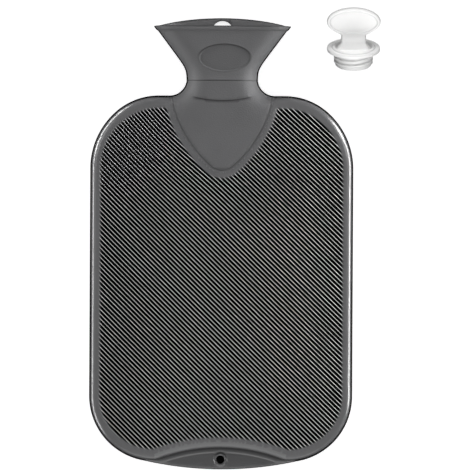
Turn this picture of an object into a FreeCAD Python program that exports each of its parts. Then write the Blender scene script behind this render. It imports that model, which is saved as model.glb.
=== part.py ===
"""Hot water bottle lying on its back, front up, with its stopper taken off beside it.

X runs across the bottle, Y from the foot towards the funnel, Z up through the thickness.
The origin is the centre of the flat back of the bag.
"""
import FreeCAD, Part
import math
import os

import Sketcher

# Driving dimensions in millimetres, angles in degrees.
SIZES = [
    ("bag_width", 200.0, "bag and its parting ridge at the straight sides"),
    ("bag_length", 284.0, "shoulder line to the lowest point of the foot"),
    ("bag_depth", 46.0, "flat back to the rib crests of the front"),
    ("front_edge_radius", 7.0, "rounding between the front and the side wall"),
    ("back_edge_bevel", 8.2, "bevel between the back and the side wall"),
    ("shoulder_shift", 5.5, "centre of a shoulder's top arc beyond that of its side arc"),
    ("shoulder_radius", 49.3, "top arc of a shoulder"),
    ("shoulder_side_radius", 57.5, "arc that leads a shoulder into the side"),
    ("foot_radius", 50.0, "lower corner of the bag"),
    ("foot_arch_radius", 268.0, "long arc of the foot"),
    ("bay_radius", 132.0, "hollow arc of the bag above the foot tab"),
    ("bay_rise", 17.0, "height of the foot tab at its middle"),
    ("bay_corner_radius", 16.0, "turn from a lower corner into the hollow arc"),
    ("wall", 2.0, "wall of the back and the sides"),
    ("front_wall", 3.2, "wall of the front, ribs included"),
    ("ridge_proud", 0.8, "parting ridge beyond the side wall"),
    ("ridge_height", 1.6, "parting ridge through the thickness"),
    ("tab_thickness", 4.0, "plate of the foot tab"),
    ("rib_pitch", 2.55, "rib to rib, square to the ribs"),
    ("rib_gap", 1.5, "width of the groove between two ribs"),
    ("rib_depth", 1.4, "groove depth below the rib crests"),
    ("rib_border", 0.3, "level rim between the front rounding and the ribs"),
    ("rib_angle", 45.0, "ribs fall from upper left to lower right"),
    ("yoke_reach", 56.7, "smooth yoke below the shoulder line"),
    ("yoke_tip_radius", 12.0, "round tip of the yoke"),
    ("yoke_side_radius", 92.0, "bowed sides of the yoke"),
    ("yoke_side_lean", 41.0, "turn of the tip on each side"),
    ("yoke_proud", 0.5, "yoke above the rib crests"),
    ("yoke_border", 6.5, "plain band between the yoke and the ribs"),
    ("neck_width", 54.0, "waist of the neck"),
    ("neck_corner_radius", 13.0, "round corner between the neck and a shoulder"),
    ("funnel_start", 18.6, "lower end of the flare above the shoulder line"),
    ("funnel_rise", 53.0, "front rim above the shoulder line"),
    ("mouth_width", 102.0, "funnel at the front rim"),
    ("back_arch", 6.4, "back of the funnel above the front rim"),
    ("funnel_wall", 2.4, "wall of the funnel"),
    ("rim_height", 3.2, "bead along the front rim"),
    ("rim_proud", 0.8, "bead beyond the funnel wall"),
    ("badge_width", 39.6, "oval recess in the front of the funnel"),
    ("badge_height", 20.6, "oval recess in the front of the funnel"),
    ("badge_rise", 28.7, "middle of the oval recess above the shoulder line"),
    ("badge_depth", 0.6, "depth of the oval recess"),
    ("hang_bore", 16.0, "hanging hole in the back of the funnel"),
    ("hang_margin", 2.2, "material above the hanging hole"),
    ("thread_crest", 28.2, "clear bore of the neck between thread crests"),
    ("seat_bore", 42.0, "pocket for the flange of the stopper"),
    ("seat_rise", 11.0, "flange seat above the shoulder line"),
    ("seat_depth", 4.0, "depth of the flange pocket"),
    ("eyelet_bore", 6.0, "hole in the foot tab"),
    ("eyelet_boss", 10.0, "raised ring round the eyelet"),
    ("eyelet_proud", 1.0, "ring above the tab plate"),
    ("eyelet_rise", 7.5, "eyelet above the lowest point of the foot"),
    ("plug_bore_gap", 0.3, "stopper core to the thread crests of the neck"),
    ("plug_length", 12.4, "threaded plug of the stopper"),
    ("plug_core", 22.0, "hollow in the underside of the plug"),
    ("plug_roof", 4.0, "material over that hollow"),
    ("thread_height", 1.2, "thread ridge beyond the core"),
    ("thread_pitch", 3.6, "turn to turn"),
    ("thread_turns", 2.75, "turns of the thread"),
    ("flange_gap", 0.8, "flange edge to the pocket wall"),
    ("flange_thickness", 2.4, "flange of the stopper"),
    ("collar_width", 31.7, "raised ring on the flange"),
    ("collar_height", 1.0, "raised ring above the flange"),
    ("collar_wall", 3.5, "width of that ring"),
    ("stem_foot", 24.0, "stem where it leaves the flange"),
    ("stem_waist", 19.0, "narrow part of the stem"),
    ("stem_height", 9.7, "flange to the lower edge of the grip"),
    ("stem_thickness", 7.0, "stem from front to back"),
    ("grip_width", 41.0, "oval grip"),
    ("grip_height", 22.3, "oval grip"),
    ("grip_thickness", 5.6, "oval grip"),
    ("grip_rim", 2.4, "width of the raised rim of the grip"),
    ("grip_recess", 0.6, "depth inside that rim, on both faces"),
    ("stopper_apart", 49.7, "mouth of the funnel to the axis of the loose stopper"),
    ("stopper_rise", 36.5, "flange of the loose stopper above the shoulder line"),
]

doc = FreeCAD.newDocument("hot_water_bottle")
sheet = doc.addObject("Spreadsheet::Sheet", "sizes")
for row, (alias, number, note) in enumerate(SIZES, start=1):
    sheet.set(f"A{row}", alias)
    sheet.set(f"B{row}", str(number))
    sheet.set(f"C{row}", note)
    sheet.setAlias(f"B{row}", alias)
doc.recompute()


def value(expression):
    """Number that an expression on the sheet has now."""
    return float(sheet.evalExpression(expression))


# Places that several pieces share, as expressions on the sheet.
MID_DEPTH = "sizes.bag_depth / 2"
SLIM = "min(sizes.bag_depth / 2 - sizes.rim_proud; 0.83 * sizes.neck_width / 2)"
SHOULDER = "sizes.bag_length / 2"
FOOT = "-sizes.bag_length / 2"
SEAT = f"{SHOULDER} + sizes.seat_rise"
FLARE = f"{SHOULDER} + sizes.funnel_start"
FRONT_RIM = f"{SHOULDER} + sizes.funnel_rise"
BACK_RIM = f"{FRONT_RIM} + sizes.back_arch"
FLARE_SLOPE = (
    "((sizes.mouth_width - sizes.neck_width) / 2 / (sizes.funnel_rise - sizes.funnel_start))"
)
PLUG_CORE = "(sizes.thread_crest / 2 - sizes.plug_bore_gap)"
FLANGE = "(sizes.seat_bore / 2 - sizes.flange_gap)"
THREAD_START = "(-sizes.plug_length + sizes.thread_height + sizes.thread_pitch / 3)"
CREST_HALF = "(sizes.thread_pitch / 8)"
SHOULDER_CENTRE = (
    "(sizes.bag_width / 2 - sizes.shoulder_side_radius + sizes.shoulder_shift)"
)
FOOT_CENTRE = (
    "(sizes.bag_length / 2 - sizes.foot_arch_radius"
    " + sqrt((sizes.foot_arch_radius - sizes.foot_radius)^2"
    " - (sizes.bag_width / 2 - sizes.foot_radius)^2))"
)


def bind(thing, **expressions):
    """Bind properties to the sheet; a double underscore stands for a dot."""
    for name, expression in expressions.items():
        thing.setExpression(name.replace("__", "."), expression)


def new_body(name):
    body = doc.addObject("PartDesign::Body", name)
    body.Label = name
    return body


def new_sketch(body, name, plane):
    sketch = body.newObject("Sketcher::SketchObject", name)
    base = next(item for item in body.Origin.OriginFeatures if item.Role == plane)
    sketch.AttachmentSupport = (base, [""])
    sketch.MapMode = "FlatFace"
    return sketch


def rule(sketch, *constraint):
    sketch.addConstraint(Sketcher.Constraint(*constraint))


def measure(sketch, expression, *constraint):
    """Add a dimension whose value is bound to the sheet."""
    index = sketch.addConstraint(Sketcher.Constraint(*constraint, value(expression)))
    sketch.setExpression(f"Constraints[{index}]", expression)


def add_line(sketch, start, end):
    return sketch.addGeometry(Part.LineSegment(point(*start), point(*end)), False)


def point(x, y):
    return FreeCAD.Vector(x, y, 0)


def add_arc(sketch, centre, radius, start, end):
    """Arc that runs counter-clockwise from one direction to the other, in radians."""
    circle = Part.Circle(point(*centre), FreeCAD.Vector(0, 0, 1), radius)
    return sketch.addGeometry(Part.ArcOfCircle(circle, start, end), False)


def heading(start, end):
    return math.atan2(end[1] - start[1], end[0] - start[0])


def polygon(sketch, corners):
    """Closed outline of straight lines through corners given as pairs of expressions."""
    places = [(value(x), value(y)) for x, y in corners]
    lines = [
        add_line(sketch, start, end)
        for start, end in zip(places, places[1:] + places[:1])
    ]
    for line, following in zip(lines, lines[1:] + lines[:1]):
        rule(sketch, "Coincident", line, 2, following, 1)
    for line, (x, y), place in zip(lines, corners, places):
        for kind, text, number in (("DistanceX", x, place[0]), ("DistanceY", y, place[1])):
            if number < 0:
                measure(sketch, f"-({text})", kind, line, 1, -1, 1)
            else:
                measure(sketch, text, kind, -1, 1, line, 1)


def half_outline(body, name, inset, with_bay):
    """Right half of the bag's outline, moved in by an inset and closed on the centre line."""
    sketch = new_sketch(body, name, "XY_Plane")
    shift = value(inset)
    half, top = value("sizes.bag_width / 2"), value(SHOULDER)
    radius = {
        part: value(f"sizes.{part}_radius")
        for part in ("shoulder", "shoulder_side", "foot", "foot_arch", "bay", "bay_corner")
    }
    shoulder = (value(SHOULDER_CENTRE), top - radius["shoulder"])
    apart = radius["shoulder_side"] - radius["shoulder"]
    fall = math.sqrt(apart**2 - value("sizes.shoulder_shift") ** 2)
    side = (half - radius["shoulder_side"], shoulder[1] - fall)
    foot = (half - radius["foot"], -value(FOOT_CENTRE))
    turn = heading(side, shoulder)

    axis = add_line(sketch, (0, -top), (0, top - shift))
    level = add_line(sketch, (0, top - shift), (shoulder[0], top - shift))
    upper = add_arc(sketch, shoulder, radius["shoulder"] - shift, turn, math.pi / 2)
    lower = add_arc(sketch, side, radius["shoulder_side"] - shift, 0, turn)
    flank = add_line(sketch, (half - shift, side[1]), (half - shift, foot[1]))
    if with_bay:
        hollow = (0, -top + value("sizes.bay_rise") - radius["bay"])
        near, far = radius["foot"] - radius["bay_corner"], radius["bay"] + radius["bay_corner"]
        gap = math.dist(foot, hollow)
        along = (gap**2 + near**2 - far**2) / (2 * gap)
        across = math.sqrt(near**2 - along**2)
        way = heading(foot, hollow)
        corner = (
            foot[0] + along * math.cos(way) - across * math.sin(way),
            foot[1] + along * math.sin(way) + across * math.cos(way),
        )
        bend = heading(foot, corner)
        toe = add_arc(sketch, foot, radius["foot"] - shift, bend, 0)
        turned = heading(corner, hollow)
        small = add_arc(sketch, corner, radius["bay_corner"] - shift, turned, bend)
        last = add_arc(
            sketch, hollow, radius["bay"] + shift, heading(hollow, corner), math.pi / 2
        )
        last_end = 2
        rule(sketch, "Tangent", small, 2, toe, 1)
        rule(sketch, "Tangent", last, 1, small, 1)
        measure(sketch, f"sizes.bay_corner_radius - ({inset})", "Radius", small)
        measure(sketch, f"sizes.bay_radius + ({inset})", "Radius", last)
        measure(sketch, f"{SHOULDER} - sizes.bay_rise - ({inset})", "DistanceY", axis, 1, -1, 1)
        measure(sketch, FOOT_CENTRE, "DistanceY", toe, 3, -1, 1)
    else:
        arch = (0, -top + radius["foot_arch"])
        bend = heading(arch, foot)
        toe = add_arc(sketch, foot, radius["foot"] - shift, bend, 0)
        last = add_arc(sketch, arch, radius["foot_arch"] - shift, -math.pi / 2, bend)
        last_end = 1
        rule(sketch, "Tangent", last, 2, toe, 1)
        measure(sketch, f"sizes.foot_arch_radius - ({inset})", "Radius", last)
        measure(sketch, f"{SHOULDER} - ({inset})", "DistanceY", axis, 1, -1, 1)
    rule(sketch, "PointOnObject", axis, 1, -2)
    rule(sketch, "PointOnObject", axis, 2, -2)
    rule(sketch, "PointOnObject", last, 3, -2)
    rule(sketch, "Coincident", axis, 2, level, 1)
    rule(sketch, "Coincident", axis, 1, last, last_end)
    rule(sketch, "Horizontal", level)
    rule(sketch, "Vertical", flank)
    rule(sketch, "Tangent", level, 2, upper, 2)
    rule(sketch, "Tangent", upper, 1, lower, 2)
    rule(sketch, "Tangent", flank, 1, lower, 1)
    rule(sketch, "Tangent", flank, 2, toe, 2)
    measure(sketch, f"{SHOULDER} - ({inset})", "DistanceY", -1, 1, axis, 2)
    measure(sketch, f"sizes.bag_width / 2 - ({inset})", "DistanceX", -1, 1, flank, 1)
    measure(sketch, SHOULDER_CENTRE, "DistanceX", -1, 1, upper, 3)
    measure(sketch, f"sizes.shoulder_radius - ({inset})", "Radius", upper)
    measure(sketch, f"sizes.shoulder_side_radius - ({inset})", "Radius", lower)
    measure(sketch, f"sizes.foot_radius - ({inset})", "Radius", toe)
    return sketch


def pad(body, sketch, length, base="0"):
    """Pad that stands on a level given from the back of the bag."""
    sketch.setExpression("AttachmentOffset.Base.z", base)
    feature = body.newObject("PartDesign::Pad", f"{sketch.Name}_pad")
    feature.Profile = sketch
    bind(feature, Length=length)
    doc.recompute()
    return feature


def mirror(body, feature):
    """Whole form from its right half."""
    plane = next(item for item in body.Origin.OriginFeatures if item.Role == "YZ_Plane")
    whole = body.newObject("PartDesign::Mirrored", f"{feature.Name}_whole")
    whole.Originals = [feature]
    whole.MirrorPlane = (plane, [""])
    body.Tip = whole
    doc.recompute()
    return whole


def level_face(shape, height):
    """Name of the level face at a height."""
    for index, face in enumerate(shape.Faces, start=1):
        if max(abs(face.BoundBox.ZMin - height), abs(face.BoundBox.ZMax - height)) < 0.01:
            return f"Face{index}"


def bag_block(name, inset, back_inset, front_inset):
    """Bag outline through the thickness, moved in by its insets from the sides, back and front."""
    body = new_body(name)
    outline = half_outline(body, f"{name}_outline", inset, True)
    top = f"sizes.bag_depth - ({front_inset})"
    mirror(body, pad(body, outline, f"{top} - ({back_inset})", back_inset))
    return body


def ease_edges(body, kind, height, size):
    """Round or bevel all edges of the level face at a height."""
    base = body.Tip
    feature = body.newObject(f"PartDesign::{kind}", f"{body.Name}_{kind}_{len(body.Group)}")
    feature.Base = (base, [level_face(base.Shape, value(height))])
    bind(feature, **{"Radius" if kind == "Fillet" else "Size": size})
    body.Tip = feature
    doc.recompute()


def bag_outside():
    body = bag_block("bag_outside", "sizes.ridge_proud", "0", "0")
    ease_edges(body, "Chamfer", "0", "sizes.back_edge_bevel")
    ease_edges(body, "Fillet", "sizes.bag_depth", "sizes.front_edge_radius")
    return body


def bag_inside():
    """Water space; its bevels keep the wall inside the rounded outer edges."""
    body = bag_block(
        "bag_inside", "sizes.ridge_proud + sizes.wall", "sizes.wall", "sizes.front_wall"
    )
    back = "sizes.back_edge_bevel - (2 - sqrt(2)) * sizes.wall"
    front = (
        "(2 - sqrt(2)) * (sizes.front_edge_radius - sizes.wall)"
        " - (sizes.front_wall - sizes.wall)"
    )
    ease_edges(body, "Chamfer", "sizes.wall", back)
    ease_edges(body, "Chamfer", "sizes.bag_depth - sizes.front_wall", front)
    return body


def plate(name, inset, thickness):
    """Level plate at mid depth with the whole outline, foot tab included."""
    body = new_body(name)
    sketch = half_outline(body, f"{name}_outline", inset, False)
    mirror(body, pad(body, sketch, thickness, f"{MID_DEPTH} - ({thickness}) / 2"))
    return body


def yoke_outline(body, name, margin):
    """Outline of the smooth yoke below the shoulder line, widened by a margin."""
    sketch = new_sketch(body, name, "XY_Plane")
    grow = value(margin)
    tip = value("sizes.yoke_tip_radius")
    bow = value("sizes.yoke_side_radius")
    lean = math.radians(value("sizes.yoke_side_lean"))
    tip_level = f"{SHOULDER} - sizes.yoke_reach + sizes.yoke_tip_radius"
    offset = "(sizes.yoke_side_radius - sizes.yoke_tip_radius)"
    across = f"{offset} * sin(sizes.yoke_side_lean * 1 deg)"
    along = f"{tip_level} + {offset} * cos(sizes.yoke_side_lean * 1 deg)"
    centre_y, top = value(tip_level), value(SHOULDER)
    side_x, side_y = value(across), value(along)
    end = math.asin((top - side_y) / (bow + grow))
    corner = (bow + grow) * math.cos(end) - side_x
    lid = add_line(sketch, (-corner, top), (corner, top))
    right = add_arc(sketch, (-side_x, side_y), bow + grow, lean - math.pi / 2, end)
    nose = add_arc(
        sketch, (0, centre_y), tip + grow, -lean - math.pi / 2, lean - math.pi / 2
    )
    left = add_arc(
        sketch, (side_x, side_y), bow + grow, math.pi - end, 1.5 * math.pi - lean
    )
    rule(sketch, "Horizontal", lid)
    rule(sketch, "Coincident", lid, 2, right, 2)
    rule(sketch, "Coincident", lid, 1, left, 1)
    rule(sketch, "Tangent", nose, 2, right, 1)
    rule(sketch, "Tangent", nose, 1, left, 2)
    rule(sketch, "PointOnObject", nose, 3, -2)
    rule(sketch, "Equal", right, left)
    measure(sketch, SHOULDER, "DistanceY", -1, 1, lid, 1)
    measure(sketch, tip_level, "DistanceY", -1, 1, nose, 3)
    measure(sketch, f"sizes.yoke_tip_radius + ({margin})", "Radius", nose)
    measure(sketch, f"sizes.yoke_side_radius + ({margin})", "Radius", right)
    measure(sketch, across, "DistanceX", right, 3, -1, 1)
    measure(sketch, across, "DistanceX", -1, 1, left, 3)
    return sketch


def boolean(kind, name, *shapes):
    """Fuse, common or cut of document objects; a cut takes the rest from the first."""
    feature = doc.addObject(f"Part::{kind}", name)
    if kind == "Cut":
        feature.Base, feature.Tool = shapes
    else:
        feature.Shapes = list(shapes)
    doc.recompute()
    return feature


def section(name, half_width, half_depth, level):
    """Upright flattened oval across the neck at a level along Y, centred at mid depth."""
    sketch = doc.addObject("Sketcher::SketchObject", name)
    bind(sketch, Placement__Base__y=level, Placement__Base__z=MID_DEPTH)
    sketch.Placement.Rotation = FreeCAD.Rotation(FreeCAD.Vector(1, 0, 0), 90)
    radius, end = value(half_depth), value(f"{half_width} - ({half_depth})")
    right = add_arc(sketch, (end, 0), radius, -math.pi / 2, math.pi / 2)
    left = add_arc(sketch, (-end, 0), radius, math.pi / 2, 1.5 * math.pi)
    front = add_line(sketch, (end, radius), (-end, radius))
    back = add_line(sketch, (-end, -radius), (end, -radius))
    rule(sketch, "Tangent", right, 2, front, 1)
    rule(sketch, "Tangent", front, 2, left, 1)
    rule(sketch, "Tangent", left, 2, back, 1)
    rule(sketch, "Tangent", back, 2, right, 1)
    rule(sketch, "PointOnObject", right, 3, -1)
    measure(sketch, half_depth, "Radius", right)
    measure(sketch, f"{half_width} - ({half_depth})", "DistanceX", -1, 1, right, 3)
    measure(sketch, f"{half_width} - ({half_depth})", "DistanceX", left, 3, -1, 1)
    return sketch


def half_section(name, half_width, half_depth, level):
    """Right half of the same oval, closed on the centre line."""
    sketch = doc.addObject("Sketcher::SketchObject", name)
    bind(sketch, Placement__Base__y=level, Placement__Base__z=MID_DEPTH)
    sketch.Placement.Rotation = FreeCAD.Rotation(FreeCAD.Vector(1, 0, 0), 90)
    radius, end = value(half_depth), value(f"{half_width} - ({half_depth})")
    nose = add_arc(sketch, (end, 0), radius, -math.pi / 2, math.pi / 2)
    front = add_line(sketch, (end, radius), (0, radius))
    lid = add_line(sketch, (0, radius), (0, -radius))
    back = add_line(sketch, (0, -radius), (end, -radius))
    rule(sketch, "Tangent", nose, 2, front, 1)
    rule(sketch, "Coincident", front, 2, lid, 1)
    rule(sketch, "Coincident", lid, 2, back, 1)
    rule(sketch, "Tangent", back, 2, nose, 1)
    rule(sketch, "Vertical", lid)
    rule(sketch, "PointOnObject", lid, 1, -2)
    rule(sketch, "PointOnObject", nose, 3, -1)
    measure(sketch, half_depth, "Radius", nose)
    measure(sketch, f"{half_width} - ({half_depth})", "DistanceX", -1, 1, nose, 3)
    return sketch


def loft(name, sections):
    """Solid with straight walls from section to section."""
    ovals = [
        section(f"{name}_{index}", *texts) for index, texts in enumerate(sections, start=1)
    ]
    feature = doc.addObject("Part::Loft", name)
    feature.Sections = ovals
    feature.Solid = True
    feature.Ruled = True
    doc.recompute()
    return feature


def cylinder(name, diameter, length, direction="Z", **place):
    """Cylinder along Z or Y whose base centre is bound to the sheet."""
    feature = doc.addObject("Part::Cylinder", name)
    bind(feature, Radius=f"({diameter}) / 2", Height=length)
    if direction == "Y":
        feature.Placement.Rotation = FreeCAD.Rotation(FreeCAD.Vector(1, 0, 0), -90)
    for axis, expression in place.items():
        feature.setExpression(f"Placement.Base.{axis}", expression)
    return feature


def block(name, width, length, height, **place):
    """Box centred on X whose lower corner is bound to the sheet."""
    feature = doc.addObject("Part::Box", name)
    bind(feature, Length=width, Width=length, Height=height)
    bind(feature, Placement__Base__x=f"-({width}) / 2")
    for axis, expression in place.items():
        feature.setExpression(f"Placement.Base.{axis}", expression)
    return feature


def neck_form():
    """Neck from the shoulder through the waist, with round corners on the shoulder line."""
    corner = "sizes.neck_corner_radius"
    levels = [(f"{SHOULDER} - {corner} / 2", f"sizes.neck_width / 2 + {corner}")]
    for share in (0.0, 0.08, 0.25, 0.5, 1.0):
        width = f"sizes.neck_width / 2 + {corner} * (1 - sqrt(1 - (1 - {share})^2))"
        levels.append((f"{SHOULDER} + {corner} * {share}", width))
    levels.append((FLARE, "sizes.neck_width / 2"))
    return loft("neck", [(width, SLIM, level) for level, width in levels])


def flare(name, level, width, depth):
    """Flattened oval that widens evenly from a level through the rim and past the back arch."""
    run = f"({BACK_RIM} + 1 - ({level}))"
    lean = f"{FLARE_SLOPE} * {run}"
    wing = doc.addObject("Part::Extrusion", f"{name}_right")
    wing.Base = half_section(f"{name}_outline", width, depth, level)
    wing.DirMode = "Custom"
    wing.Solid = True
    bind(wing, Dir__x=lean, Dir__y=run)
    wing.Dir.z = 0
    other = doc.addObject("Part::Mirroring", f"{name}_left")
    other.Source = wing
    other.Normal = (1, 0, 0)
    middle = new_body(f"{name}_middle")
    sketch = new_sketch(middle, f"{name}_middle_outline", "XY_Plane")
    near = f"(({width}) - ({depth})) / 2"
    top = f"({level}) + {run}"
    polygon(
        sketch,
        [
            (f"-{near}", level),
            (near, level),
            (f"{near} + {lean}", top),
            (f"-({near} + {lean})", top),
        ],
    )
    pad(middle, sketch, f"2 * ({depth})", f"{MID_DEPTH} - ({depth})")
    return boolean("MultiFuse", name, wing, other, middle)


def funnel_form():
    """Solid funnel with its rim bead, arched back and level front rim."""
    outer = flare("funnel_outer", FLARE, "sizes.neck_width / 2", SLIM)
    bead_width = f"sizes.mouth_width / 2 - {FLARE_SLOPE} * sizes.rim_height + sizes.rim_proud"
    bead_level = f"{FRONT_RIM} - sizes.rim_height"
    bead = flare("rim_bead", bead_level, bead_width, f"{SLIM} + sizes.rim_proud")
    body = boolean("MultiFuse", "funnel_body", outer, bead)
    reach = "((sizes.mouth_width / 2)^2 + sizes.back_arch^2) / (2 * sizes.back_arch)"
    arch = cylinder(
        "back_arch_round", f"2 * ({reach})", "2 * sizes.bag_depth",
        y=f"{BACK_RIM} - ({reach})", z="-sizes.bag_depth / 2",
    )
    arched = boolean("MultiCommon", "arched_funnel", body, arch)
    front = block(
        "front_opening", "2 * sizes.mouth_width", "2 * sizes.back_arch",
        "sizes.bag_depth", y=FRONT_RIM, z="sizes.bag_depth / 3",
    )
    return boolean("Cut", "funnel_block", arched, front)


def funnel_hollow():
    """Inside of the funnel down to the flange pocket."""
    top = f"{SEAT} + sizes.seat_depth"
    start = f"sizes.neck_width / 2 - 1.3 * sizes.funnel_wall + {FLARE_SLOPE} * ({top} - ({FLARE}))"
    cone = flare("funnel_inside", top, start, f"{SLIM} - sizes.funnel_wall")
    pocket = cylinder(
        "flange_pocket", "sizes.seat_bore", "sizes.seat_depth", "Y", y=SEAT, z=MID_DEPTH
    )
    bore = cylinder(
        "neck_bore", "sizes.thread_crest", "sizes.seat_rise + 4 * sizes.wall", "Y",
        y=f"{SHOULDER} - 3 * sizes.wall", z=MID_DEPTH,
    )
    return boolean("MultiFuse", "neck_hollow", cone, pocket, bore)


def badge_recess():
    """Bare oval recess that follows the curved front of the funnel."""
    oval = new_body("badge_oval")
    sketch = new_sketch(oval, "badge_outline", "XY_Plane")
    add_oval(
        sketch, "sizes.badge_width", "sizes.badge_height", f"{SHOULDER} + sizes.badge_rise"
    )
    pad(oval, sketch, "sizes.bag_depth", MID_DEPTH)
    start = f"sizes.neck_width / 2 - {FLARE_SLOPE} - sizes.badge_depth"
    skin = flare("badge_floor", f"{FLARE} - 1", start, f"{SLIM} - sizes.badge_depth")
    return boolean("Cut", "badge_recess", oval, skin)


def add_oval(sketch, width, height, level):
    """Ellipse on the vertical sketch axis, its long axis level."""
    centre = point(0, value(level))
    oval = Part.Ellipse(centre, value(width) / 2, value(height) / 2)
    index = sketch.addGeometry(oval, False)
    sketch.exposeInternalGeometry(index)
    rule(sketch, "PointOnObject", index, 3, -2)
    rule(sketch, "Horizontal", index + 1)
    measure(sketch, level, "DistanceY", -1, 1, index, 3)
    measure(sketch, width, "Distance", index + 1)
    measure(sketch, height, "Distance", index + 2)


def span_inside(centre, along, half_width, half_length):
    """Stretch of a line that lies inside a rectangle, as distances from its centre point."""
    ends = []
    for middle, step, limit in zip(centre, along, (half_width, half_length)):
        ends.append(sorted(((-limit - middle) / step, (limit - middle) / step)))
    return max(low for low, high in ends), min(high for low, high in ends)


def rib_grooves():
    """Comb of slanted grooves in the front, inside its plain border and clear of the yoke."""
    pitch, gap, depth = (value(f"sizes.{name}") for name in ("rib_pitch", "rib_gap", "rib_depth"))
    half_width, half_length = value("sizes.bag_width / 2"), value(SHOULDER)
    floor = value("sizes.bag_depth") - depth
    angle = math.radians(value("sizes.rib_angle"))
    along = (math.cos(angle), -math.sin(angle))
    count = int((half_width * math.sin(angle) + half_length * math.cos(angle)) / pitch)
    turn = FreeCAD.Rotation(FreeCAD.Vector(0, 0, 1), -math.degrees(angle))
    teeth = []
    for step in range(-count, count + 1):
        centre = (step * pitch * math.sin(angle), step * pitch * math.cos(angle))
        start, end = span_inside(centre, along, half_width, half_length)
        if end - start > gap:
            corner = FreeCAD.Vector(start, -gap / 2, 0)
            tooth = Part.makeBox(end - start, gap, 2 * depth, corner)
            place = FreeCAD.Placement(FreeCAD.Vector(*centre, floor), turn)
            tooth.Placement = place.multiply(tooth.Placement)
            teeth.append(tooth)
    comb = doc.addObject("Part::Feature", "rib_comb")
    comb.Shape = Part.makeCompound(teeth)
    panel = new_body("rib_panel")
    border = "sizes.ridge_proud + sizes.front_edge_radius + sizes.rib_border"
    outline = half_outline(panel, "rib_panel_outline", border, True)
    mirror(panel, pad(panel, outline, "2 * sizes.bag_depth"))
    return boolean("Cut", "clear_comb", boolean("MultiCommon", "panel_comb", comb, panel), yoke_notch())


def yoke_form():
    """Smooth raised yoke that leads the bag into the neck."""
    body = new_body("yoke_patch")
    outline = yoke_outline(body, "yoke_outline", "0")
    pad(body, outline, f"{MID_DEPTH} + sizes.yoke_proud", MID_DEPTH)
    high = f"{MID_DEPTH} + sizes.yoke_proud"
    corner, half = "sizes.neck_corner_radius", "sizes.neck_width / 2"
    bulge = loft(
        "yoke_bulge",
        [
            (f"{half} + {corner}", SLIM, SHOULDER),
            (f"{half} + 2.3 * {corner}", MID_DEPTH, f"{SHOULDER} - {corner} / 2"),
            (f"{half} + 5 * {corner}", high, f"{SHOULDER} - 2 * {corner}"),
            (f"{half} + 8 * {corner}", high, f"{SHOULDER} - 1.2 * sizes.yoke_reach"),
        ],
    )
    return boolean("MultiCommon", "yoke", body, bulge)


def yoke_notch():
    body = new_body("rib_notch")
    pad(body, yoke_outline(body, "rib_notch_outline", "sizes.yoke_border"), "2 * sizes.bag_depth")
    return body


def make_bottle():
    outer, inner = bag_outside(), bag_inside()
    ridge = plate("parting_ridge", "0", "sizes.ridge_height")
    tab = plate("foot_plate", "sizes.ridge_proud / 2", "sizes.tab_thickness")
    boss = cylinder(
        "eyelet_ring", "sizes.eyelet_boss", "sizes.tab_thickness + 2 * sizes.eyelet_proud",
        y=f"{FOOT} + sizes.eyelet_rise",
        z=f"{MID_DEPTH} - sizes.tab_thickness / 2 - sizes.eyelet_proud",
    )
    solid = boolean(
        "MultiFuse", "bottle_outside",
        outer, ridge, tab, boss, yoke_form(), neck_form(), funnel_form(),
    )
    eyelet = cylinder(
        "eyelet", "sizes.eyelet_bore", "sizes.bag_depth", y=f"{FOOT} + sizes.eyelet_rise"
    )
    hang_hole = cylinder(
        "hang_hole", "sizes.hang_bore", "sizes.bag_depth / 2",
        y=f"{BACK_RIM} - sizes.hang_margin - sizes.hang_bore / 2", z="-sizes.bag_depth / 4",
    )
    hollow = boolean("MultiFuse", "bottle_inside", inner, funnel_hollow())
    openings = boolean("MultiFuse", "openings", eyelet, hang_hole, badge_recess())
    shell = boolean("Cut", "bottle_shell", solid, hollow)
    pierced = boolean("Cut", "pierced_shell", shell, openings)
    bottle = boolean("Cut", "bottle", pierced, rib_grooves())
    bottle.Label = "bottle"
    return bottle


def stopper_turned(body):
    """Plug, flange and collar as one turned profile; the flange seats at level 0."""
    sketch = new_sketch(body, "stopper_profile", "XZ_Plane")
    core, flange = PLUG_CORE, FLANGE
    collar = "sizes.collar_width / 2"
    hollow = "sizes.plug_core / 2"
    top = "(sizes.flange_thickness + sizes.collar_height)"
    dish = "sizes.flange_thickness - sizes.collar_height"
    polygon(
        sketch,
        [
            (hollow, "-sizes.plug_length"),
            (f"{core} - sizes.thread_height", "-sizes.plug_length"),
            (core, "-sizes.plug_length + sizes.thread_height"),
            (core, "0"),
            (flange, "0"),
            (flange, "3 * sizes.flange_thickness / 4"),
            (f"{flange} - sizes.flange_thickness / 4", "sizes.flange_thickness"),
            (f"{collar} + sizes.collar_height / 2", "sizes.flange_thickness"),
            (collar, top),
            (f"{collar} - sizes.collar_wall", top),
            (f"{collar} - sizes.collar_wall - sizes.collar_height", dish),
            ("0", dish),
            ("0", f"{dish} - sizes.plug_roof"),
            (hollow, f"{dish} - sizes.plug_roof"),
        ],
    )
    turned = body.newObject("PartDesign::Revolution", "stopper_turned")
    turned.Profile = sketch
    turned.ReferenceAxis = (sketch, ["V_Axis"])
    turned.Angle = 360
    doc.recompute()


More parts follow.
